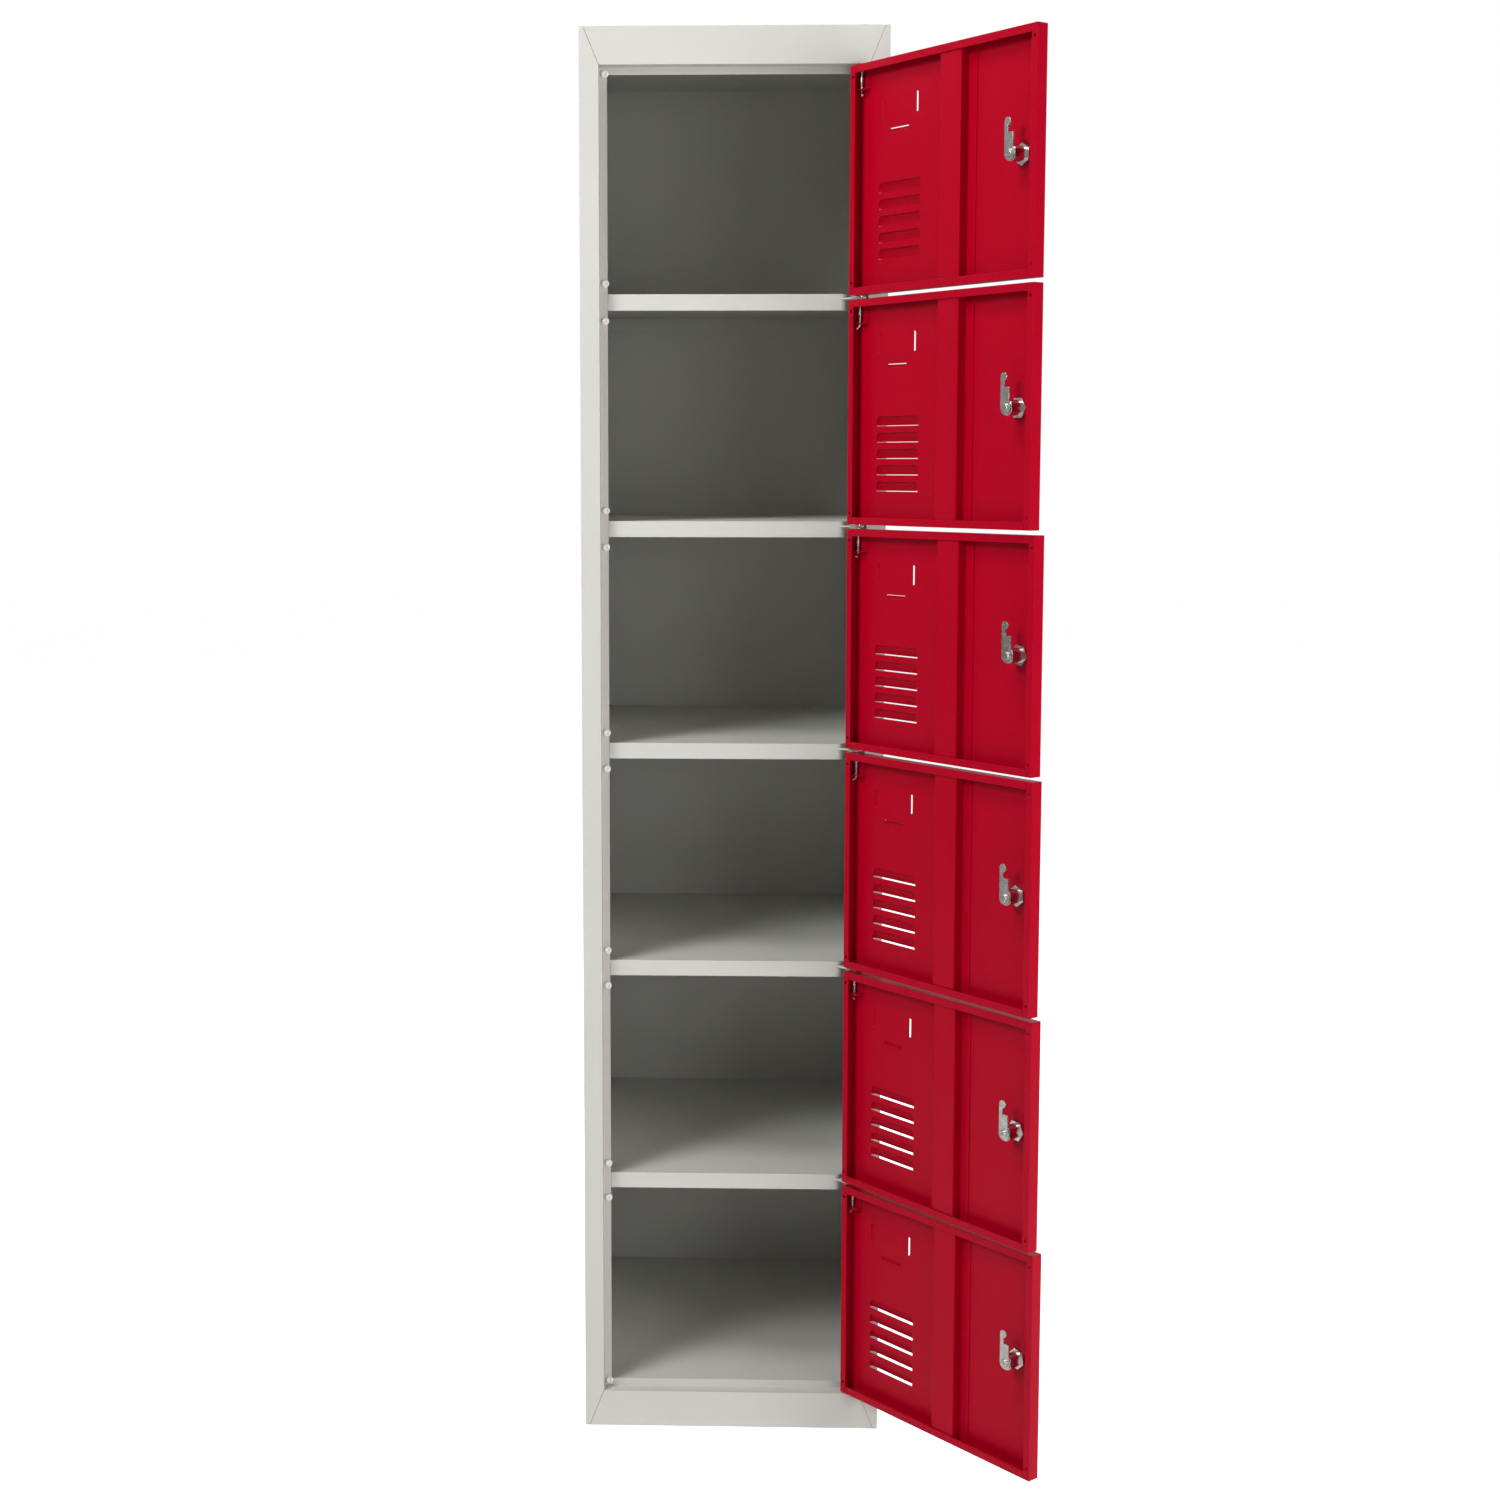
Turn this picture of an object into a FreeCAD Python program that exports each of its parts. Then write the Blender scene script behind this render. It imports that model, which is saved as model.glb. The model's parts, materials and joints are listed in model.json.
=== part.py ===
import FreeCAD, Part
import math
import os

os.makedirs("parts", exist_ok=True)
V = FreeCAD.Vector

# A six-door steel locker, one column wide. X runs to the right, Y into the
# locker and Z up. The origin is the middle of the cabinet's front edge, on the
# floor. Every length is in millimetres.

# ---- cabinet
WIDTH = 380.0
DEPTH = 460.0
HEIGHT = 1780.0
SHEET = 1.0
FRONT = 0.0
BACK = FRONT + DEPTH
STILE = 24.0            # width of the front frame at the sides
TOP_RAIL = 46.0
BOTTOM_RAIL = 47.0
JAMB = 19.0             # depth of the recess that the doors close into
LEDGE = 9.0             # width of the stop behind the doors
BUMPER_STEM = 2.2       # how far a bumper's stem passes the ledge
REAR_FLANGE = 16.0
PANEL_HEM = 15.0        # height of the roof's and the floor's rear flanges
HEM_IN = 6.0            # how far those flanges stop short of the sides
DRAIN_R = 2.0
DRAIN_IN = 12.0         # drain hole from the left jamb
DRAIN_DEEP = 10.0
MITRE_START = 5.0       # the corner seams start this far in from the side
SEAM = 0.4              # gap in a butted or mitred sheet joint
FIT = 0.2               # gap left beside a panel that is welded in

# ---- doors
DOORS = 6
PITCH = (HEIGHT - TOP_RAIL - BOTTOM_RAIL) / DOORS
DOOR_GAP = 5.5
DOOR_H = PITCH - DOOR_GAP
SIDE_GAP = 2.5
OPENING_X = WIDTH / 2 - STILE
DOOR_W = 2 * (OPENING_X - SIDE_GAP)
DOOR_T = 16.0
DOOR_FLANGE = 9.0
DOOR_EDGE_R = 1.2
FLANGE_HOLE_IN = 4.5
FLANGE_HOLE_DOWN = 14.0
FLANGE_HOLE_R = 2.0
DOOR_OPEN = [126.5, 126.5, 128.0, 128.5, 129.5, 131.0]   # degrees, top door first

# ---- louvres, card tabs and stiffener; places are measured from the hinge edge
LOUVRES = 5
LOUVRE_DOWN = 148.0     # middle of the first louvre below the door's top edge
LOUVRE_PITCH = 19.9
LOUVRE_MID = 77.0
LOUVRE_W = 80.0
LOUVRE_H = 12.0
LOUVRE_PROUD = 5.0
LOUVRE_GAP = 0.8        # the slot reaches this far past the hood's free edge
HOOD_SHEET = 0.8        # a pressed hood's wall, thinned by the pressing
CARD_MID = 75.75        # middle of the name card
CARD_DOWN = 54.0
CARD_HALF = 31.25       # from there to the free edges of the two side tabs
CARD_BASE_DOWN = 80.5   # free edge of the bottom tab
CARD_SIDE_LONG = 25.5
CARD_BASE_LONG = 36.0
CARD_TAB = 5.4          # height of a tab's hood from its free edge
CARD_PROUD = 2.4
HAT_CROWN = [163.0, 200.0]
HAT_FOOT = 14.0
HAT_H = 13.0
HAT_R = 1.5

# ---- hinges
PIN_IN = 7.5            # pin axis to the door's hinge edge
PIN_DEEP = 4.0          # pin axis to the door's outer face
PIN_X = DOOR_W / 2 - PIN_IN
PIN_Y = FRONT + PIN_DEEP
PIN_R = 2.0
PIN_UP = 4.5            # how far the sprung pin stands above its door
PIN_DOWN = 30.0         # straight length inside the door
PIN_STEM_R = 1.4        # the pin is thinner below its shoulder
PIN_BEND_R = 3.5
PIN_TAIL = 4.0
TAIL_TURN = [-35.0, -120.0, -60.0, -100.0, -45.0, -80.0]
PIN_NOSE = 0.8
BRACKET_DOWN = 28.0     # top of the pin bracket's shelf below the door's top
BRACKET_SHEET = 1.2
BRACKET_LEG = [13.0, 21.0]
BRACKET_TOP = 5.0
BRACKET_FROM = 2.5
BRACKET_DEEP = 8.0
SHOULDER_DOWN = 17.0
SHOULDER_H = 1.5
SHOULDER_R = 2.7
SPRING_R = 2.2
SPRING_WIRE = 0.9
SPRING_TURNS = 3
RUN = 0.05              # radial clearance of every running fit
LUG_T = 2.0
EYELET_R = 2.8
EYELET_HEAD_R = 3.7
EYELET_HEAD = 0.6
EYELET_UP = 1.2         # how far an eyelet stands up inside the door
DOOR_LIFT = 0.25        # gap between an eyelet's collar and the door it guides
LUG_BACK = 5.0          # the lug's nose reaches this far to the left of the pin
LUG_ON = 4.0            # and this far to its right
LUG_NOSE = 0.3          # its front edge stays this far behind the cabinet's front
LUG_HEEL = 6.0

# ---- shelves
LIP_H = 20.0
LIP_RISE = 6.0          # shelf surface above the middle of the door gap
LIP_END_X = 133.0
LIP_END_R = 10.0
LIP_HEM = 10.0

# ---- bumpers
BUMPER_R = 4.5
BUMPER_IN = 2.6         # a bumper's axis to the ledge's free edge
BUMPER_EDGE_R = 1.0
BUMPER_CLEAR = 0.3      # left between a bumper and the shut door
DIMPLE_R = 2.0
STEM_R = 1.5

# ---- lock
LOCK_IN = 294.0         # lock axis from the hinge edge
LOCK_LEN = 22.7
LOCK_R = 9.0
LOCK_FLAT = 15.5
LOCK_HEAD_R = 12.0
NUT_AF = 22.0
LOCK_HEAD_T = 2.2
NUT_T = 5.0
NUT_TURN = [30.0, 0.0, 12.0, 24.0, 5.0, 18.0]   # degrees, as each nut was tightened
PLUG_R = 6.25
PLUG_SINK = 2.0         # the plug's face stands this far out of the door's skin
KEYWAY = [1.6, 7.6, 15.0]
SQUARE = 8.0
THREAD_R = 2.0
CAM_OFF = 0.3           # gap between the barrel and the cam
CAM_T = 2.0
CAM_HUB_R = 8.0
CAM_ARM = 13.5          # width of the arm below its notch
CAM_NECK = 5.2          # and beside the notch
CAM_SHOULDER = 23.0     # height of the notch's lower edge above the axis
CAM_REACH = 39.5
CAM_TIP_R = 4.8
SCREW_R = 4.8
SCREW_T = 2.6
SCREW_CROSS = [5.2, 1.0, 1.2]          # long, wide and deep


def box(x0, x1, y0, y1, z0, z1):
    return Part.makeBox(x1 - x0, y1 - y0, z1 - z0, V(x0, y0, z0))


def prism(points, direction):
    """A closed outline pushed along a direction."""
    wire = Part.makePolygon(points + [points[0]])
    return Part.Face(wire).extrude(direction)


def rod(radius, start, length, axis=V(0, 0, 1)):
    return Part.makeCylinder(radius, length, start, axis)


def save(name, *solids):
    shape = solids[0] if len(solids) == 1 else Part.makeCompound(list(solids))
    shape.exportStep("parts/%s.step" % name)
    print(name, shape.isValid(), len(shape.Solids), round(shape.Volume / 1000, 1))


def gap_z(i):
    """Middle of the gap under door i, with the top rail's edge as gap 0."""
    return HEIGHT - TOP_RAIL - i * PITCH


# ---------------------------------------------------------------- cabinet

def bumper_places():
    """The stop buttons on the left ledge: two for every compartment."""
    above = 19.0
    below = 27.0
    first = 8.0
    last = 7.0
    tops = [gap_z(0) - first] + [gap_z(i) - below for i in range(1, DOORS)]
    bottoms = [gap_z(i) + above for i in range(1, DOORS)] + [gap_z(DOORS) + last]
    return tops + bottoms


def side_panel():
    """The left side, stile, jamb, stop ledge and rear flange, in one folded sheet."""
    x0 = -WIDTH / 2
    x1 = x0 + STILE
    wall = box(x0, x0 + SHEET, FRONT, BACK, 0, HEIGHT)
    stile = box(x0, x1, FRONT, FRONT + SHEET, 0, HEIGHT)
    jamb = box(x1 - SHEET, x1, FRONT, FRONT + JAMB + SHEET, 0, HEIGHT)
    ledge = box(x1 - SHEET, x1 + LEDGE, FRONT + JAMB, FRONT + JAMB + SHEET, 0, HEIGHT)
    rear = box(x0, x0 + REAR_FLANGE, BACK - SHEET, BACK, 0, HEIGHT)
    foot = box(x0, x0 + REAR_FLANGE, FRONT + JAMB + SHEET + FIT, BACK, 0, SHEET)
    panel = wall.fuse([stile, jamb, ledge, rear, foot])
    return panel.cut([corner_cut(x0, x1, True), corner_cut(x0, x1, False)]).removeSplitter()


def corner_cut(x0, x1, top):
    """What a side panel gives up to the rail at one corner, along the mitre."""
    outer, inner, beyond = (HEIGHT, gap_z(0), HEIGHT + 1) if top else (0, gap_z(DOORS), -1)
    y = FRONT - 1
    far = x1 + LEDGE + 1
    points = [V(x0 + MITRE_START, y, outer), V(x1, y, inner), V(far, y, inner),
              V(far, y, beyond), V(x0 + MITRE_START, y, beyond)]
    return prism(points, V(0, JAMB + 2 * SHEET + 0.5, 0))


def mirrored(shape):
    return shape.mirror(V(0, 0, 0), V(1, 0, 0))


def rail_trim(top):
    """Cuts that shape the rail's two ends: the mitre seam, and room for the jambs."""
    outer, inner, beyond = (HEIGHT, gap_z(0), HEIGHT + 1) if top else (0, gap_z(DOORS), -1)
    into = inner - 30 if top else inner + 30
    x0 = -WIDTH / 2 - 1
    y = FRONT - 1
    start = -WIDTH / 2 + MITRE_START + SEAM
    corner = -OPENING_X + SEAM
    points = [V(x0, y, beyond), V(start, y, beyond), V(start, y, outer),
              V(corner, y, inner), V(corner, y, into), V(x0, y, into)]
    seam = prism(points, V(0, SHEET + 1 + FIT / 2, 0))
    low, high = (into, HEIGHT - SHEET - FIT) if top else (SHEET + FIT, inner + SHEET)
    jamb_room = box(x0, -OPENING_X + FIT, FRONT + SHEET, FRONT + JAMB + 2 * SHEET, low, high)
    ledge_room = box(x0, -OPENING_X + LEDGE + FIT, FRONT + JAMB - FIT, FRONT + JAMB + 2 * SHEET,
                     into if top else inner, inner if top else into)
    cuts = [seam, jamb_room, ledge_room]
    return cuts + [mirrored(c) for c in cuts]


def top_panel():
    """Roof, front rail, jamb and stop ledge, in one folded sheet."""
    x = WIDTH / 2 - SHEET - FIT
    z = gap_z(0)
    back = BACK - 2 * SHEET - FIT
    roof = box(-x, x, FRONT, back, HEIGHT - SHEET, HEIGHT)
    rail = box(-x, x, FRONT, FRONT + SHEET, z, HEIGHT)
    jamb = box(-x, x, FRONT, FRONT + JAMB + SHEET, z, z + SHEET)
    ledge = box(-x, x, FRONT + JAMB, FRONT + JAMB + SHEET, z - LEDGE, z + SHEET)
    hem = box(-x + HEM_IN, x - HEM_IN, back - SHEET, back, HEIGHT - PANEL_HEM, HEIGHT)
    panel = roof.fuse([rail, jamb, ledge, hem])
    hole = rod(PIN_R + RUN, V(PIN_X, PIN_Y, z - 1), SHEET + 2)
    return panel.cut(rail_trim(True) + [hole]).removeSplitter()


def base_panel():
    """Bottom compartment's floor, stop ledge, jamb, front rail and its foot."""
    x = WIDTH / 2 - SHEET - FIT
    z = gap_z(DOORS)
    floor_z = z + LEDGE
    y = FRONT + JAMB
    back = BACK - 2 * SHEET - FIT
    floor = box(-x, x, y, back, floor_z - SHEET, floor_z)
    ledge = box(-x, x, y, y + SHEET, z - SHEET, floor_z)
    jamb = box(-x, x, FRONT, y + SHEET, z - SHEET, z)
    rail = box(-x, x, FRONT, FRONT + SHEET, 0, z)
    foot = box(-x, x, FRONT, y, 0, SHEET)
    hem = box(-x + HEM_IN, x - HEM_IN, back - SHEET, back, floor_z - PANEL_HEM, floor_z)
    panel = floor.fuse([ledge, jamb, rail, foot, hem])
    side_room = box(-WIDTH / 2, -OPENING_X + LEDGE + FIT,
                    y - FIT, y + SHEET + BUMPER_STEM, z, floor_z + 1)
    eyelet = rod(EYELET_R, V(PIN_X, PIN_Y, z - 2 * SHEET), 3 * SHEET)
    drain = rod(DRAIN_R, V(-OPENING_X + DRAIN_IN, FRONT + DRAIN_DEEP, z - 2 * SHEET), 3 * SHEET)
    cuts = rail_trim(False) + [side_room, mirrored(side_room), eyelet, drain]
    return panel.cut(cuts).removeSplitter()


def back_panel():
    x = WIDTH / 2 - SHEET - FIT
    return box(-x, x, BACK - 2 * SHEET, BACK - SHEET, SHEET + FIT, HEIGHT - FIT)


def shelf(i):
    """A tray turned upside down. Its front skirt is the lip between two doors."""
    z = gap_z(i) + LIP_RISE
    y = FRONT + JAMB
    x = WIDTH / 2 - SHEET - FIT
    back = BACK - 2 * SHEET - FIT
    behind = y + SHEET + FIT
    left = -OPENING_X + LEDGE + FIT
    centre = V(LIP_END_X, y + LIP_END_R, z)
    mid = centre + V(math.sin(math.pi / 4), -math.cos(math.pi / 4), 0) * LIP_END_R
    turn_end = centre + V(LIP_END_R, 0, 0)
    corners = [turn_end, V(x, turn_end.y, z), V(x, back, z), V(-x, back, z),
               V(-x, behind, z), V(left, behind, z), V(left, y, z), V(LIP_END_X, y, z)]
    edges = [Part.LineSegment(a, b).toShape() for a, b in zip(corners, corners[1:])]
    edges.append(Part.Arc(corners[-1], mid, turn_end).toShape())
    outline = Part.Wire(edges)
    tray = Part.Face(outline).extrude(V(0, 0, -LIP_H))
    inside = Part.Face(outline).makeOffset2D(-SHEET)
    inside.translate(V(0, 0, -SHEET))
    tray = tray.cut(inside.extrude(V(0, 0, -LIP_H)))
    hem = box(left + 2 * SHEET, LIP_END_X - 2 * SHEET, y, y + LIP_HEM, z - LIP_H, z - LIP_H + SHEET)
    return tray.fuse(hem).removeSplitter()


def bumper(z):
    """A push-in button with a dimple, its stem through the ledge."""
    proud = JAMB - DOOR_T - BUMPER_CLEAR
    x = -OPENING_X + LEDGE - BUMPER_IN
    face = FRONT + JAMB
    button = rod(BUMPER_R, V(x, face - proud, z), proud, V(0, 1, 0))
    rim = [e for e in button.Edges if abs(e.BoundBox.YMax - (face - proud)) < 0.01]
    button = button.makeFillet(BUMPER_EDGE_R, rim)
    dimple = Part.makeSphere(DIMPLE_R, V(x, face - proud - DIMPLE_R / 2, z))
    stem = rod(STEM_R, V(x, face, z), SHEET + BUMPER_STEM - FIT, V(0, 1, 0))
    return button.cut(dimple).fuse(stem).removeSplitter()


def bumper_holes():
    x = -OPENING_X + LEDGE - BUMPER_IN
    hole_r = STEM_R + 2 * RUN
    return [rod(hole_r, V(x, FRONT + JAMB - 1, z), SHEET + 2, V(0, 1, 0)) for z in bumper_places()]


def hinge_lug(i):
    """The ear between two doors that carries the lower pivot of one and the pin of the next."""
    z = gap_z(i) - LUG_T / 2
    y = FRONT + JAMB
    nose = FRONT + LUG_NOSE
    points = [V(LIP_END_X, y, z), V(PIN_X - LUG_BACK, nose, z), V(PIN_X + LUG_ON, nose, z),
              V(OPENING_X, FRONT + LUG_HEEL, z), V(OPENING_X, y, z)]
    return prism(points, V(0, 0, LUG_T)).cut(rod(EYELET_R, V(PIN_X, PIN_Y, z - 1), LUG_T + 2))


def eyelet(low, high, door_z, head_r):
    """A tubular rivet. Its collar carries a door, and its bore takes the pin from below."""
    collar_top = door_z - DOOR_LIFT
    foot = V(PIN_X, PIN_Y, low - EYELET_HEAD)
    tall = door_z + SHEET + EYELET_UP - foot.z
    body = rod(EYELET_R, foot, tall)
    head = rod(head_r, foot, EYELET_HEAD)
    collar = rod(EYELET_HEAD_R, V(PIN_X, PIN_Y, high), collar_top - high)
    bore = rod(PIN_R + RUN, foot - V(0, 0, 1), tall + 2)
    return body.fuse([head, collar]).cut(bore).removeSplitter()


def eyelets():
    lugs = [gap_z(i) for i in range(1, DOORS)]
    made = [eyelet(z - LUG_T / 2, z + LUG_T / 2, z + DOOR_GAP / 2, EYELET_HEAD_R) for z in lugs]
    base = gap_z(DOORS)
    made.append(eyelet(base - SHEET, base, base + DOOR_GAP / 2, PIN_DEEP - SHEET - RUN))
    return made


# ---------------------------------------------------------------- doors
# A door is drawn shut. across() measures from its hinge edge, deep() from its
# outer face, and heights are counted down from its top edge.

def across(u):
    return DOOR_W / 2 - u


def deep(t):
    return FRONT + t


def door_box(u0, u1, t0, t1, top, down0, down1):
    return box(across(u1), across(u0), deep(t0), deep(t1), top - down1, top - down0)


def bulge(length, height, proud, below):
    """A quarter-ellipse bar with rounded ends. Its flat back lies at y = 0, its
    base at z = -below, and it stands out towards -Y."""
    curve = Part.ArcOfEllipse(Part.Ellipse(V(0, 0, height), V(0, -proud, 0), V(0, 0, 0)), 0, math.pi / 2)
    edges = [curve.toShape(),
             Part.LineSegment(V(0, -proud, 0), V(0, -proud, -below)).toShape(),
             Part.LineSegment(V(0, -proud, -below), V(0, 0, -below)).toShape(),
             Part.LineSegment(V(0, 0, -below), V(0, 0, height)).toShape()]
    section = Part.Face(Part.Wire(edges))
    half = length / 2 - proud
    middle = section.extrude(V(2 * half, 0, 0))
    middle.translate(V(-half, 0, 0))
    end = section.revolve(V(0, 0, 0), V(0, 0, 1), 90)
    end.translate(V(half, 0, 0))
    return middle.fuse([end, mirrored(end)]).removeSplitter()


def pressed_hood(length, height, proud, gap):
    """A hood pressed out of the skin above a cut along X, and the room that it leaves."""
    solid = bulge(length, height, proud, gap)
    solid = solid.cut(box(-length, length, -proud - 1, 1, -gap - 1, 0))
    room = bulge(length - 2 * HOOD_SHEET, height - HOOD_SHEET, proud - HOOD_SHEET, gap)
    backs = [f for f in room.Faces if f.BoundBox.YLength < 0.001 and abs(f.BoundBox.YMin) < 0.001]
    slot = backs[0].extrude(V(0, 2 * SHEET, 0))
    return solid, room.fuse(slot)


def placed(pair, turn, u, z):
    """A hood and its room, turned in the door's plane and set on its skin."""
    moved = []
    for shape in pair:
        shape = shape.copy()
        shape.rotate(V(0, 0, 0), V(0, 1, 0), turn)
        shape.translate(V(across(u), deep(0), z))
        moved.append(shape)
    return moved


def hoods(top):
    """Five louvres that open downwards, and three tabs that hold a name card on the front."""
    louvre = pressed_hood(LOUVRE_W, LOUVRE_H, LOUVRE_PROUD, LOUVRE_GAP)
    side_tab = pressed_hood(CARD_SIDE_LONG, CARD_TAB, CARD_PROUD, LOUVRE_GAP)
    base_tab = pressed_hood(CARD_BASE_LONG, CARD_TAB, CARD_PROUD, LOUVRE_GAP)
    foot = top - LOUVRE_DOWN - LOUVRE_H / 2
    made = [placed(louvre, 0, LOUVRE_MID, foot - LOUVRE_PITCH * k) for k in range(LOUVRES)]
    made.append(placed(side_tab, 90, CARD_MID - CARD_HALF, top - CARD_DOWN))
    made.append(placed(side_tab, -90, CARD_MID + CARD_HALF, top - CARD_DOWN))
    made.append(placed(base_tab, 180, CARD_MID, top - CARD_BASE_DOWN))
    return made


def door_panel(top):
    """A folded pan with louvres, card tabs, and holes for its pins and its lock."""
    pan = door_box(0, DOOR_W, 0, DOOR_T, top, 0, DOOR_H)
    pan = pan.makeFillet(DOOR_EDGE_R, [e for e in pan.Edges if e.BoundBox.YMax < deep(0.01)])
    s = SHEET
    f = DOOR_FLANGE
    pan = pan.cut([door_box(s, DOOR_W - s, s, DOOR_T - s, top, s, DOOR_H - s),
                   door_box(f, DOOR_W - f, DOOR_T - 2 * s, DOOR_T + 1, top, f, DOOR_H - f)])
    cuts = []
    for u in (f, DOOR_W - f):
        for d0, d1 in ((-1, f + 0.1), (DOOR_H - f - 0.1, DOOR_H + 1)):
            cuts.append(door_box(u - SEAM / 2, u + SEAM / 2, DOOR_T - s - 0.3, DOOR_T + 1, top, d0, d1))
    for u in (FLANGE_HOLE_IN, DOOR_W - FLANGE_HOLE_IN):
        for down in (FLANGE_HOLE_DOWN, DOOR_H - FLANGE_HOLE_DOWN):
            start = V(across(u), deep(DOOR_T - 2 * s), top - down)
            cuts.append(rod(FLANGE_HOLE_R, start, 3 * s, V(0, 1, 0)))
    cuts.append(rod(PIN_R + RUN, V(PIN_X, PIN_Y, top - 2 * s), 3 * s))
    cuts.append(rod(EYELET_R + RUN, V(PIN_X, PIN_Y, top - DOOR_H - s), 3 * s))
    cuts.append(rod(LOCK_R, V(across(LOCK_IN), deep(-1), top - DOOR_H / 2), 3, V(0, 1, 0)))
    pressed = hoods(top)
    pan = pan.fuse([hood for hood, _ in pressed]).cut(cuts + [room for _, room in pressed])
    return pan.removeSplitter()


def stiffener(top):
    """A hat-section channel spot-welded to the skin from flange to flange."""
    u0, u1 = HAT_CROWN
    t0 = SHEET
    t1 = SHEET + HAT_H
    d0 = 1.5 * SHEET
    d1 = DOOR_H - d0
    feet = door_box(u0 - HAT_FOOT, u1 + HAT_FOOT, t0, t0 + SHEET, top, d0, d1)
    hat = door_box(u0, u1, t0, t1, top, d0, d1)
    long_edges = [e for e in hat.Edges if e.Length > DOOR_H / 2 and e.BoundBox.YMin > deep(t1 - 0.1)]
    hat = hat.makeFillet(HAT_R, long_edges)
    room = door_box(u0 + SHEET, u1 - SHEET, t0 - 1, t1 - SHEET, top, d0 - 1, d1 + 1)
    return feet.fuse(hat).cut(room).removeSplitter()


def pin_bracket(top):
    """An L of sheet on the skin whose shelf guides the pin and seats its spring."""
    u0, u1 = BRACKET_LEG
    low = BRACKET_DOWN + BRACKET_SHEET
    leg = door_box(u0, u1, SHEET, SHEET + BRACKET_SHEET, top, BRACKET_TOP, low)
    ledge = door_box(BRACKET_FROM, u1, SHEET, SHEET + BRACKET_DEEP, top, BRACKET_DOWN, low)
    hole = rod(PIN_STEM_R + RUN, V(PIN_X, PIN_Y, top - low - 1), BRACKET_SHEET + 2)
    return leg.fuse(ledge).cut(hole).removeSplitter()


def hinge_pin(top, turn):
    """The sprung pin: a rod, a shoulder, and a thinner stem with a bent tail to pull it down by."""
    start = V(PIN_X, PIN_Y, top + PIN_UP)
    waist = V(PIN_X, PIN_Y, top - SHOULDER_DOWN)
    low = V(PIN_X, PIN_Y, top - PIN_DOWN)
    side = V(-math.cos(math.radians(turn)), -math.sin(math.radians(turn)), 0)
    bend = math.radians(50)

    def on_bend(a):
        return low + side * (PIN_BEND_R * (1 - math.cos(a))) - V(0, 0, PIN_BEND_R * math.sin(a))

    tail_end = on_bend(bend) + (side * math.sin(bend) - V(0, 0, math.cos(bend))) * PIN_TAIL
    path = Part.Wire([Part.LineSegment(waist, low).toShape(),
                      Part.Arc(low, on_bend(bend / 2), on_bend(bend)).toShape(),
                      Part.LineSegment(on_bend(bend), tail_end).toShape()])
    profile = Part.Wire(Part.Circle(waist, V(0, 0, 1), PIN_STEM_R).toShape())
    stem = path.makePipeShell([profile], True, False)
    pin = rod(PIN_R, waist, PIN_UP + SHOULDER_DOWN)
    shoulder = rod(SHOULDER_R, V(PIN_X, PIN_Y, top - SHOULDER_DOWN - SHOULDER_H), SHOULDER_H)
    neck = start - V(0, 0, PIN_NOSE)
    cone = Part.makeCone(PIN_R, PIN_R - PIN_NOSE, PIN_NOSE, neck)
    chamfer = rod(PIN_R + 1, neck, PIN_NOSE + 1).cut(cone)
    return pin.fuse([shoulder, stem]).cut(chamfer).removeSplitter()


def pin_spring(top):
    """A coil from the bracket's shelf up to the pin's shoulder."""
    clear = SPRING_WIRE / 2 + 2 * RUN
    high = top - SHOULDER_DOWN - SHOULDER_H - clear
    low = top - BRACKET_DOWN + clear
    height = high - low
    helix = Part.makeHelix(height / SPRING_TURNS, height, SPRING_R)
    circle = Part.Circle(V(SPRING_R, 0, 0), V(0, 1, 0), SPRING_WIRE / 2).toShape()
    coil = Part.Wire(helix.Edges).makePipeShell([Part.Wire(circle)], True, True)
    coil.translate(V(PIN_X, PIN_Y, low))
    return coil


# ---------------------------------------------------------------- lock

def lock_rod(top, radius, t0, t1):
    return rod(radius, V(across(LOCK_IN), deep(t0), top - DOOR_H / 2), t1 - t0, V(0, 1, 0))


def lock_housing(top, nut_turn):
    """The flanged barrel through the skin, with its hexagon nut as a second solid."""
    x = across(LOCK_IN)
    z = top - DOOR_H / 2
    head = lock_rod(top, LOCK_HEAD_R, -LOCK_HEAD_T, 0)
    rim = [e for e in head.Edges if e.BoundBox.YMax < deep(0.1 - LOCK_HEAD_T)]
    head = head.makeFillet(LOCK_HEAD_T / 2, rim)
    flats = box(x - LOCK_FLAT / 2, x + LOCK_FLAT / 2, deep(SHEET + NUT_T), deep(LOCK_LEN + 1),
                z - LOCK_R - 1, z + LOCK_R + 1)
    rear = lock_rod(top, LOCK_R, SHEET + NUT_T, LOCK_LEN).common(flats)
    barrel = lock_rod(top, LOCK_R, 0, SHEET + NUT_T).fuse(rear)
    bore = lock_rod(top, PLUG_R + RUN, -LOCK_HEAD_T - 1, LOCK_LEN + 1)
    corner_r = NUT_AF / 2 / math.cos(math.pi / 6)
    turns = [math.radians(60 * k + nut_turn) for k in range(6)]
    corners = [V(x + corner_r * math.cos(a), deep(SHEET), z + corner_r * math.sin(a)) for a in turns]
    nut = prism(corners, V(0, NUT_T, 0)).cut(lock_rod(top, LOCK_R, 0, SHEET + NUT_T + 1))
    return head.fuse(barrel).cut(bore).removeSplitter(), nut


def lock_plug(top):
    """The part the key turns, with a keyway in front and a square behind."""
    x = across(LOCK_IN)
    z = top - DOOR_H / 2
    half = SQUARE / 2
    core = lock_rod(top, PLUG_R, -PLUG_SINK, LOCK_LEN)
    square = box(x - half, x + half, deep(LOCK_LEN), deep(LOCK_LEN + CAM_OFF + CAM_T), z - half, z + half)
    wide, high, long = KEYWAY
    keyway = box(x - wide / 2, x + wide / 2, deep(-PLUG_SINK - 1), deep(long), z - high / 2, z + high / 2)
    thread = lock_rod(top, THREAD_R, LOCK_LEN - 6, LOCK_LEN + 3)
    return core.fuse(square).cut([keyway, thread]).removeSplitter()


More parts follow.
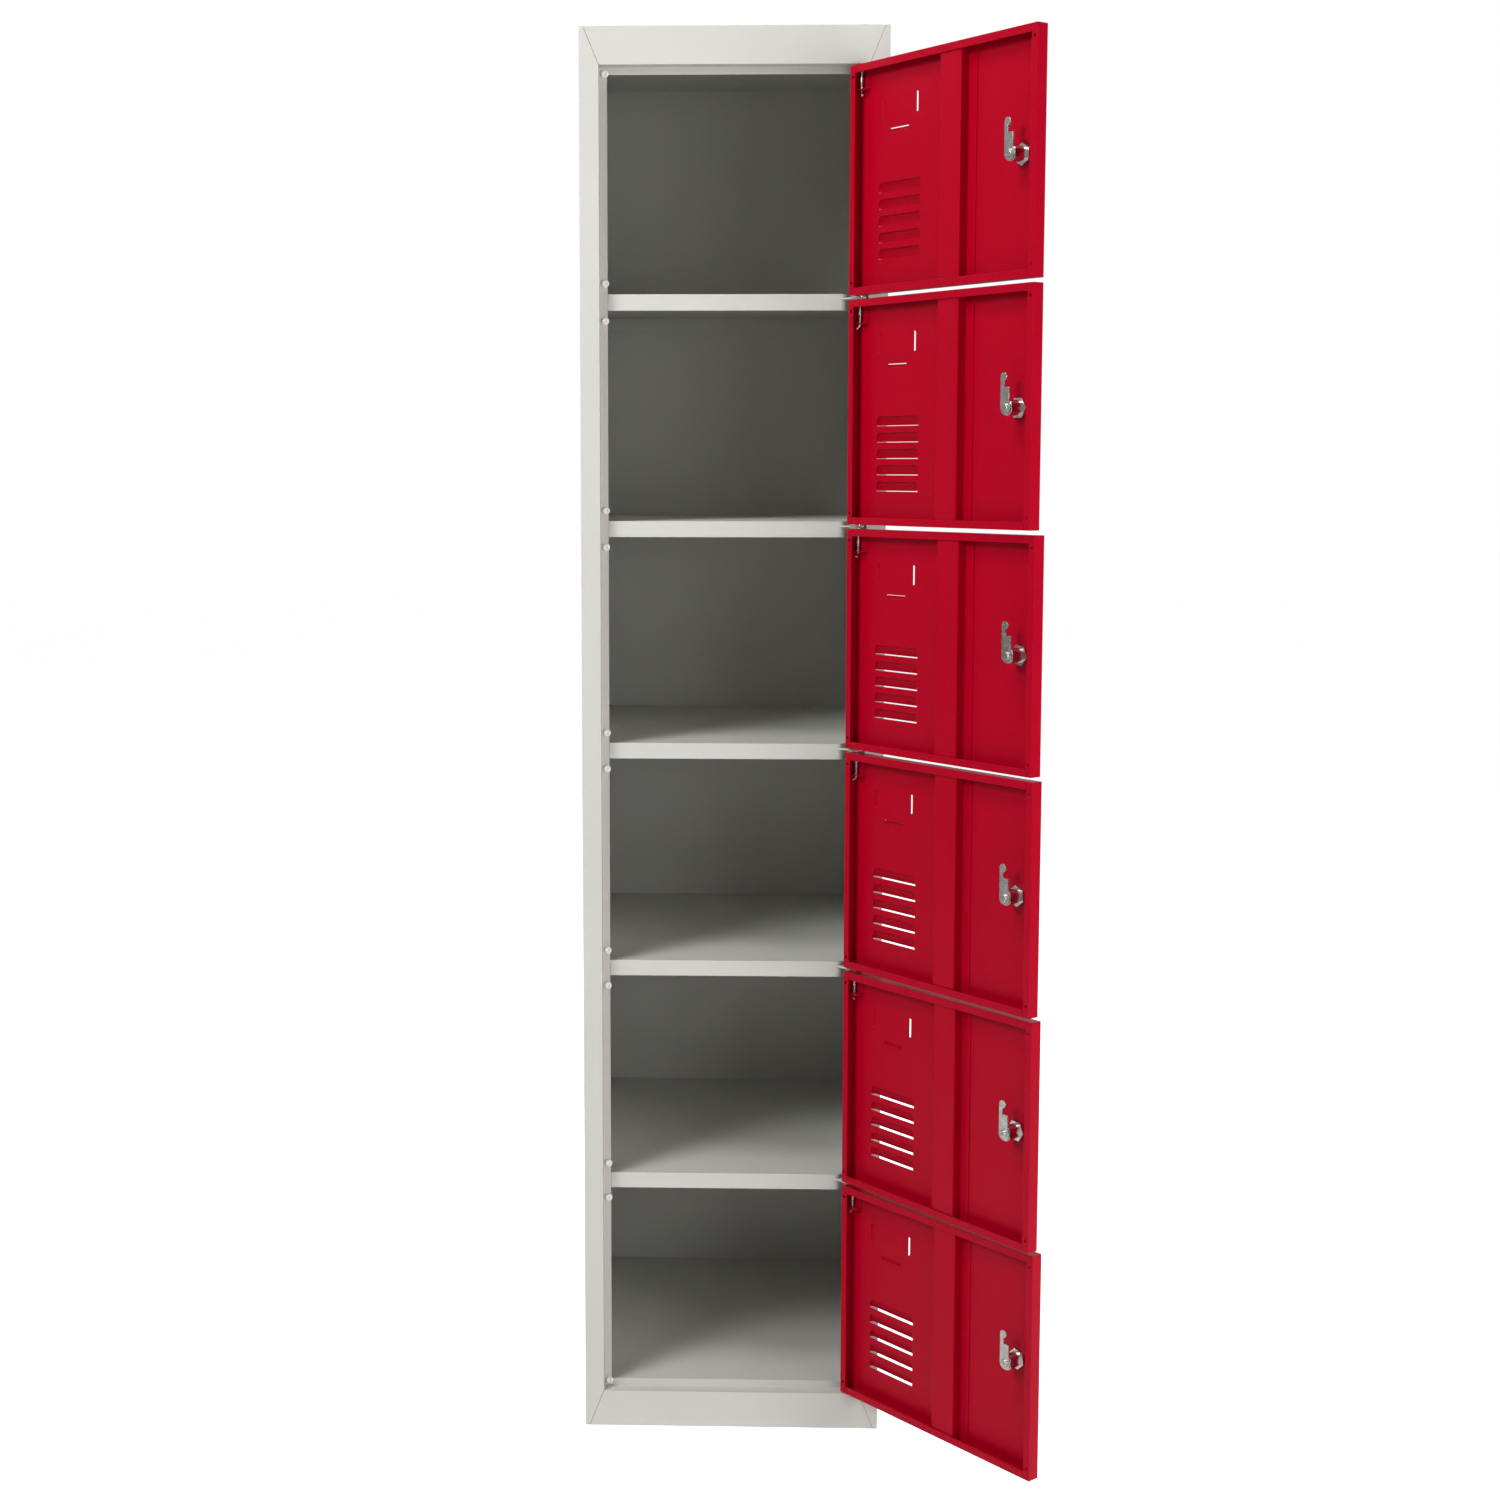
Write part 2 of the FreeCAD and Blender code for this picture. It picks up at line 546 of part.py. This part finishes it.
def lock_cam(top):
    """The hooked arm that turns behind the stop ledge, and the screw that holds it."""
    x = across(LOCK_IN)
    z = top - DOOR_H / 2
    t0 = LOCK_LEN + CAM_OFF
    t1 = t0 + CAM_T
    side = x + CAM_HUB_R
    shoulder = z + CAM_SHOULDER
    tip_z = z + CAM_REACH - CAM_TIP_R
    hub = lock_rod(top, CAM_HUB_R, t0, t1)
    arm = box(side - CAM_ARM, side, deep(t0), deep(t1), z, shoulder)
    neck = box(side - CAM_NECK, side, deep(t0), deep(t1), shoulder, tip_z)
    end = rod(CAM_TIP_R, V(side - CAM_TIP_R, deep(t0), tip_z), CAM_T, V(0, 1, 0))
    half = SQUARE / 2
    square = box(x - half, x + half, deep(t0 - 1), deep(t1 + 1), z - half, z + half)
    cam = hub.fuse([arm, neck, end]).cut(square).removeSplitter()
    screw = lock_rod(top, SCREW_R, t1, t1 + SCREW_T)
    screw = screw.makeFillet(1.0, [e for e in screw.Edges if e.BoundBox.YMin > deep(t1 + SCREW_T - 0.1)])
    shank = lock_rod(top, THREAD_R, LOCK_LEN - 5, t1)
    long, wide, sunk = SCREW_CROSS
    slot_t = [deep(t1 + SCREW_T - sunk), deep(t1 + SCREW_T + 1)]
    cross = [box(x - a / 2, x + a / 2, *slot_t, z - b / 2, z + b / 2)
             for a, b in ((long, wide), (wide, long))]
    return cam, screw.fuse(shank).cut(cross).removeSplitter()


# ---------------------------------------------------------------- build

def build_cabinet():
    left = side_panel()
    save("left_side_panel", left.cut(bumper_holes()))
    save("right_side_panel", mirrored(left))
    save("back_panel", back_panel())
    save("top_panel", top_panel())
    save("base_panel", base_panel())
    for i in range(1, DOORS):
        save("shelf_%d" % i, shelf(i))
    save("door_bumpers", *[bumper(z) for z in bumper_places()])
    save("hinge_lugs", *[hinge_lug(i) for i in range(1, DOORS)])
    save("pivot_eyelets", *eyelets())


def build_door(i):
    top = gap_z(i) - DOOR_GAP / 2
    pieces = {
        "panel": [door_panel(top)],
        "reinforcements": [stiffener(top), pin_bracket(top)],
        "hinge_pin": [hinge_pin(top, TAIL_TURN[i])],
        "pin_spring": [pin_spring(top)],
        "lock_housing": list(lock_housing(top, NUT_TURN[i])),
        "lock_plug": [lock_plug(top)],
        "lock_cam": list(lock_cam(top)),
    }
    for name, solids in pieces.items():
        for solid in solids:
            solid.rotate(V(PIN_X, PIN_Y, 0), V(0, 0, 1), DOOR_OPEN[i])
        save("door_%d_%s" % (i + 1, name), *solids)


build_cabinet()
for number in range(DOORS):
    build_door(number)
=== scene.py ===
import json
import math

import bpy
from mathutils import Matrix, Vector


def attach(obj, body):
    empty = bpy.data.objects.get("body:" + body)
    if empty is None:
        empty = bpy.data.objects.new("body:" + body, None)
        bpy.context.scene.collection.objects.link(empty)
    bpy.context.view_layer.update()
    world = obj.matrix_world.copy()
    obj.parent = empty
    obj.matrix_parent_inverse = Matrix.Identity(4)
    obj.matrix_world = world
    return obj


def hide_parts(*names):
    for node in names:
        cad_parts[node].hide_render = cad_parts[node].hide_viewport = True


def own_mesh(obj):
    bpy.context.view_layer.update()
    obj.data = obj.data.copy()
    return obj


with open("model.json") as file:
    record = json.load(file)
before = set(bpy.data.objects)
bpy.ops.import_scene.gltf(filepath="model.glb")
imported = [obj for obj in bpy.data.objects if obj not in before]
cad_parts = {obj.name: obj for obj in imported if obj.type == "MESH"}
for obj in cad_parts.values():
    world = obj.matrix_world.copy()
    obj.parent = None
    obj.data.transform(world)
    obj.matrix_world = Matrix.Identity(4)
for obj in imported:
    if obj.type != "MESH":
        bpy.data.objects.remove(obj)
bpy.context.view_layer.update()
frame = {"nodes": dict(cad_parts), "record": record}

# A six-door steel locker with its doors standing open. Lengths are in metres.
# X runs to the right, Y into the locker and Z up, and the origin is the middle
# of the cabinet's front edge on the floor.
NODES = frame["nodes"]
DOORS = 6

# ---- view
CAMERA_AT = (0.0395, -2.7080, 1.2454)
CAMERA_YAW = 1.705          # degrees to the left of straight on
CAMERA_PITCH = 6.144        # degrees down
CAMERA_ROLL = 0.04
LENS = 51.96
LENS_SHIFT = 0.0333         # the frame is shifted right and down by this share of its width

# ---- studio
LAMPS = (                   # name, degrees right of the front, degrees up, watts
    ("low_right", 45, 5, 56),
    ("front_left", -45, 30, 52),
    ("high_left", -45, 58, 40),
    ("low_front", 25, 5, 10),
    ("rear_left", -150, 30, 36),
    ("rear_right", 150, 30, 36),
)
LAMPS_AIM = Vector((0.05, 0.1, 0.95))
SOFTBOX_SIZE = 1.2
SOFTBOX_FAR = 3.4
FLOOR_HALF = 60.0
FLOOR_GLOW = 0.90           # keeps the floor pale beyond the lamps' reach
FLOOR_FILL = 0.05           # how strongly the floor lights the object
SKY_GLOSS = 0.42            # how bright the sky is in reflections
SKY_FILL = 0.03             # and as a lamp

# ---- paint and metal colours, linear
GREY = (0.605, 0.605, 0.567)
# paler grey painted along the grey paint's edges as a highlight
GREY_HIGHLIGHT = (0.74, 0.75, 0.72)
GREY_SHEEN = (1, 1, 1, 1)
CRIMSON = (0.465, 0.0, 0.016)
# paler crimson painted along the crimson paint's edges as a highlight
CRIMSON_HIGHLIGHT = (0.62, 0.03, 0.05)
CRIMSON_SHEEN = (1, 0.1, 0.2, 1)
NYLON = (0.93, 0.93, 0.91)
ZINC = (0.56, 0.55, 0.52)
WIRE = (0.50, 0.50, 0.49)
CHROME = (0.66, 0.66, 0.65)

SHARP_EDGE = 32             # an edge that turns by more degrees than this stays crisp


class Finish:
    """A node material around one principled shader, with a few shorthands."""

    def __init__(self, name, metallic=0.0, ior=1.5, specular=0.5):
        self.material = bpy.data.materials.new(name)
        self.material.use_nodes = True
        self.tree = self.material.node_tree
        self.shader = self.tree.nodes["Principled BSDF"]
        self.shader.inputs["Metallic"].default_value = metallic
        self.shader.inputs["IOR"].default_value = ior
        self.shader.inputs["Specular IOR Level"].default_value = specular
        self.place = self.add("ShaderNodeTexCoord").outputs["Object"]

    def add(self, kind, settings=None, **inputs):
        node = self.tree.nodes.new(kind)
        for key, value in (settings or {}).items():
            setattr(node, key, value)
        for key, value in inputs.items():
            self.feed(node, key.replace("_", " "), value)
        return node

    def feed(self, node, name, value):
        socket = node.inputs[name]
        if isinstance(value, bpy.types.NodeSocket):
            self.tree.links.new(value, socket)
        else:
            socket.default_value = value

    def noise(self, scale, detail=3.0, stretch=(1, 1, 1)):
        where = self.add("ShaderNodeMapping", Vector=self.place, Scale=stretch).outputs["Vector"]
        node = self.add("ShaderNodeTexNoise", Vector=where, Scale=scale, Detail=detail)
        return node.outputs["Fac"]

    def ramp(self, factor, low, high, start, end):
        """The factor's stretch from low to high, mapped to start to end."""
        node = self.add("ShaderNodeMapRange", Value=factor, From_Min=low, From_Max=high,
                        To_Min=start, To_Max=end)
        return node.outputs["Result"]

    def math(self, operation, a, b):
        node = self.add("ShaderNodeMath", {"operation": operation, "use_clamp": True})
        self.feed(node, 0, a)
        self.feed(node, 1, b)
        return node.outputs["Value"]

    def blend(self, factor, first, second):
        node = self.add("ShaderNodeMix", {"data_type": "RGBA"})
        self.feed(node, 0, factor)
        self.feed(node, 6, first)
        self.feed(node, 7, second)
        return node.outputs[2]

    def bump(self, height, strength, distance, normal=None):
        node = self.add("ShaderNodeBump", Height=height, Strength=strength, Distance=distance)
        if normal is not None:
            self.feed(node, "Normal", normal)
        return node.outputs["Normal"]

    def edges(self, radius):
        """0 on flat faces, up to 1 along sharp edges, and the rounded normal itself."""
        rounded = self.add("ShaderNodeBevel", {"samples": 4}, Radius=radius).outputs["Normal"]
        true = self.add("ShaderNodeNewGeometry").outputs["True Normal"]
        dot = self.add("ShaderNodeVectorMath", {"operation": "DOT_PRODUCT"})
        self.feed(dot, 0, rounded)
        self.feed(dot, 1, true)
        return self.ramp(dot.outputs["Value"], 0.98, 0.80, 0.0, 1.0), rounded

    def done(self, colour, roughness, normal):
        self.feed(self.shader, "Base Color", colour)
        self.feed(self.shader, "Roughness", roughness)
        self.feed(self.shader, "Normal", normal)
        return self.material


def tint(colour, scale):
    return tuple(min(1.0, c * scale) for c in colour) + (1.0,)


def powder_coat(name, colour, highlight_colour, roughness, sheen_colour):
    """Baked powder paint: orange peel, faint blotches, and a painted highlight: paler colour along
    edges, patchy along their length, standing for light caught on rounded bends.
    """
    f = Finish(name, ior=1.5, specular=0.3)
    f.shader.inputs["Specular Tint"].default_value = sheen_colour
    blotch = f.ramp(f.noise(5.0, 4.0), 0.3, 0.7, 0.0, 1.0)
    speckle = f.ramp(f.noise(900.0, 2.0), 0.35, 0.65, 0.0, 1.0)
    body = f.blend(blotch, tint(colour, 0.975), tint(colour, 1.02))
    body = f.blend(f.math("MULTIPLY", speckle, 0.35), body, tint(colour, 0.93))
    edge, rounded = f.edges(0.0009)
    # painted highlight: the edge mask, made patchy by noise, pales the colour along edges
    edge_highlight = f.math("MULTIPLY", edge, f.ramp(f.noise(70.0, 5.0), 0.35, 0.65, 0.25, 0.8))
    body = f.blend(edge_highlight, body, tint(highlight_colour, 1.0))
    rough = f.ramp(f.noise(26.0, 4.0), 0.3, 0.7, roughness - 0.05, roughness + 0.06)
    peel = f.bump(f.noise(420.0, 2.0), 0.10, 0.0006, rounded)
    return f.done(body, rough, f.bump(f.noise(1500.0, 1.0), 0.06, 0.0002, peel))


def plated(name, colour, roughness, grain, scale):
    """Plated metal: a fine grain, dull patches, and a painted highlight that brightens the colour
    along edges.
    """
    f = Finish(name, metallic=1.0)
    patch = f.ramp(f.noise(scale, 5.0), 0.32, 0.68, 0.0, 1.0)
    body = f.blend(patch, tint(colour, 0.80), tint(colour, 1.12))
    edge, rounded = f.edges(0.0005)
    # painted highlight: the colour is brightened along edges
    body = f.blend(f.math("MULTIPLY", edge, 0.8), body, tint(colour, 1.7))
    rough = f.ramp(f.noise(scale * 2.3, 4.0), 0.3, 0.7, roughness - 0.08, roughness + 0.10)
    return f.done(body, rough, f.bump(f.noise(1800.0, 2.0, grain), 0.10, 0.0002, rounded))


def moulded(name, colour):
    f = Finish(name, ior=1.46)
    f.shader.inputs["Subsurface Weight"].default_value = 0.08
    f.shader.inputs["Subsurface Radius"].default_value = (0.003, 0.003, 0.002)
    cloud = f.ramp(f.noise(320.0, 3.0), 0.3, 0.7, 0.0, 1.0)
    body = f.blend(cloud, tint(colour, 0.94), tint(colour, 1.03))
    edge, rounded = f.edges(0.0004)
    rough = f.ramp(f.noise(700.0, 2.0), 0.3, 0.7, 0.36, 0.50)
    return f.done(body, rough, f.bump(f.noise(2200.0, 2.0), 0.08, 0.0001, rounded))


def dress(node, material):
    mesh = NODES[node].data
    mesh.materials.clear()
    mesh.materials.append(material)


def finish_all():
    slots = {
        "grey_paint": powder_coat("grey_powder_coat", GREY, GREY_HIGHLIGHT, 0.40, GREY_SHEEN),
        "red_paint": powder_coat("crimson_powder_coat", CRIMSON, CRIMSON_HIGHLIGHT, 0.38, CRIMSON_SHEEN),
        "bumper_plastic": moulded("white_nylon", NYLON),
        "zinc_steel": plated("zinc_plate", ZINC, 0.28, (1, 1, 0.2), 160.0),
        "spring_steel": plated("drawn_wire", WIRE, 0.30, (1, 1, 1), 300.0),
        "lock_chrome": plated("die_cast_plate", CHROME, 0.16, (1, 1, 1), 220.0),
    }
    for part in frame["record"]["subparts"]:
        dress(part["node"], slots[part["material_slot"]])


def springs():
    """Coils in place of the rigid ones, each riding on its door."""
    coils = []
    for door in range(1, DOORS + 1):
        node = f"door_{door}_pin_spring"
        coil = bpy.data.objects.new(f"door_{door}_pin_coil", NODES[node].data.copy())
        bpy.context.scene.collection.objects.link(coil)
        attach(coil, f"door_{door}")
        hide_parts(node)
        coils.append(coil)
    return coils


def shorten(coils):
    """Gives each coil a mesh of its own; it does not shorten them."""
    for door, coil in enumerate(coils, 1):
        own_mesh(coil)


def soften(pieces):
    """Smooth shading on round stretches, flat shading on flat ones, and crisp edges."""
    for obj in pieces:
        obj.data.shade_smooth()
        obj.data.set_sharp_from_angle(angle=math.radians(SHARP_EDGE))
        flat = obj.modifiers.new("flat_faces", "WEIGHTED_NORMAL")
        flat.mode = "FACE_AREA_WITH_ANGLE"
        flat.keep_sharp = True


def studio():
    far = FLOOR_HALF
    corners = [(-far, -far, 0), (far, -far, 0), (far, far, 0), (-far, far, 0)]
    floor_mesh = bpy.data.meshes.new("studio_floor")
    floor_mesh.from_pydata(corners, [], [(0, 1, 2, 3)])
    floor = bpy.data.objects.new("studio_floor", floor_mesh)
    bpy.context.scene.collection.objects.link(floor)
    f = Finish("pale_floor")
    shade = f.ramp(f.noise(0.7, 2.0), 0.3, 0.7, 0.0, 1.0)
    path = f.add("ShaderNodeLightPath").outputs["Is Camera Ray"]
    f.feed(f.shader, "Emission Color", (1.0, 1.0, 1.0, 1.0))
    f.feed(f.shader, "Emission Strength", f.ramp(path, 0.0, 1.0, FLOOR_FILL, FLOOR_GLOW))
    pale = f.blend(shade, (0.86, 0.86, 0.86, 1), (0.88, 0.88, 0.88, 1))
    floor_mesh.materials.append(f.done(pale, 0.6, f.bump(f.noise(40.0), 0.02, 0.001)))

    sky()
    for name, azimuth, height, power in LAMPS:
        softbox(name, azimuth, height, power)


def sky():
    """White to the eye, grey in reflections, and dim as a lamp, so that the hollows stay dark."""
    world = bpy.data.worlds.new("studio")
    world.use_nodes = True
    tree = world.node_tree
    path = tree.nodes.new("ShaderNodeLightPath")
    reflected = tree.nodes.new("ShaderNodeMix")
    reflected.inputs["A"].default_value = SKY_FILL
    reflected.inputs["B"].default_value = SKY_GLOSS
    seen = tree.nodes.new("ShaderNodeMix")
    seen.inputs["B"].default_value = 1.0
    background = tree.nodes["Background"]
    background.inputs["Color"].default_value = (1.0, 1.0, 1.0, 1.0)
    tree.links.new(path.outputs["Is Glossy Ray"], reflected.inputs["Factor"])
    tree.links.new(reflected.outputs["Result"], seen.inputs["A"])
    tree.links.new(path.outputs["Is Camera Ray"], seen.inputs["Factor"])
    tree.links.new(seen.outputs["Result"], background.inputs["Strength"])
    bpy.context.scene.world = world


def softbox(name, azimuth, height, power):
    """A round lamp that looks at the object's middle."""
    turn = math.radians(azimuth)
    rise = math.radians(height)
    away = Vector((math.sin(turn) * math.cos(rise), -math.cos(turn) * math.cos(rise), math.sin(rise)))
    light = bpy.data.lights.new(name, "AREA")
    light.shape = "DISK"
    light.size = SOFTBOX_SIZE
    light.energy = power
    lamp = bpy.data.objects.new(name, light)
    lamp.location = LAMPS_AIM + away * SOFTBOX_FAR
    lamp.rotation_euler = (-away).to_track_quat("-Z", "Y").to_euler()
    bpy.context.scene.collection.objects.link(lamp)


def camera():
    data = bpy.data.cameras.new("view")
    data.lens = LENS
    data.sensor_width = 36.0
    data.shift_x = LENS_SHIFT
    data.shift_y = -LENS_SHIFT
    view = bpy.data.objects.new("view", data)
    turn = Matrix.Rotation(math.radians(CAMERA_YAW), 4, "Z")
    tilt = Matrix.Rotation(math.radians(90 - CAMERA_PITCH), 4, "X")
    roll = Matrix.Rotation(math.radians(CAMERA_ROLL), 4, "Z")
    view.matrix_world = Matrix.Translation(CAMERA_AT) @ turn @ tilt @ roll
    bpy.context.scene.collection.objects.link(view)
    bpy.context.scene.camera = view


finish_all()
coils = springs()
soften([*NODES.values(), *coils])
shorten(coils)
studio()
camera()
bpy.context.scene.view_settings.view_transform = "Standard"
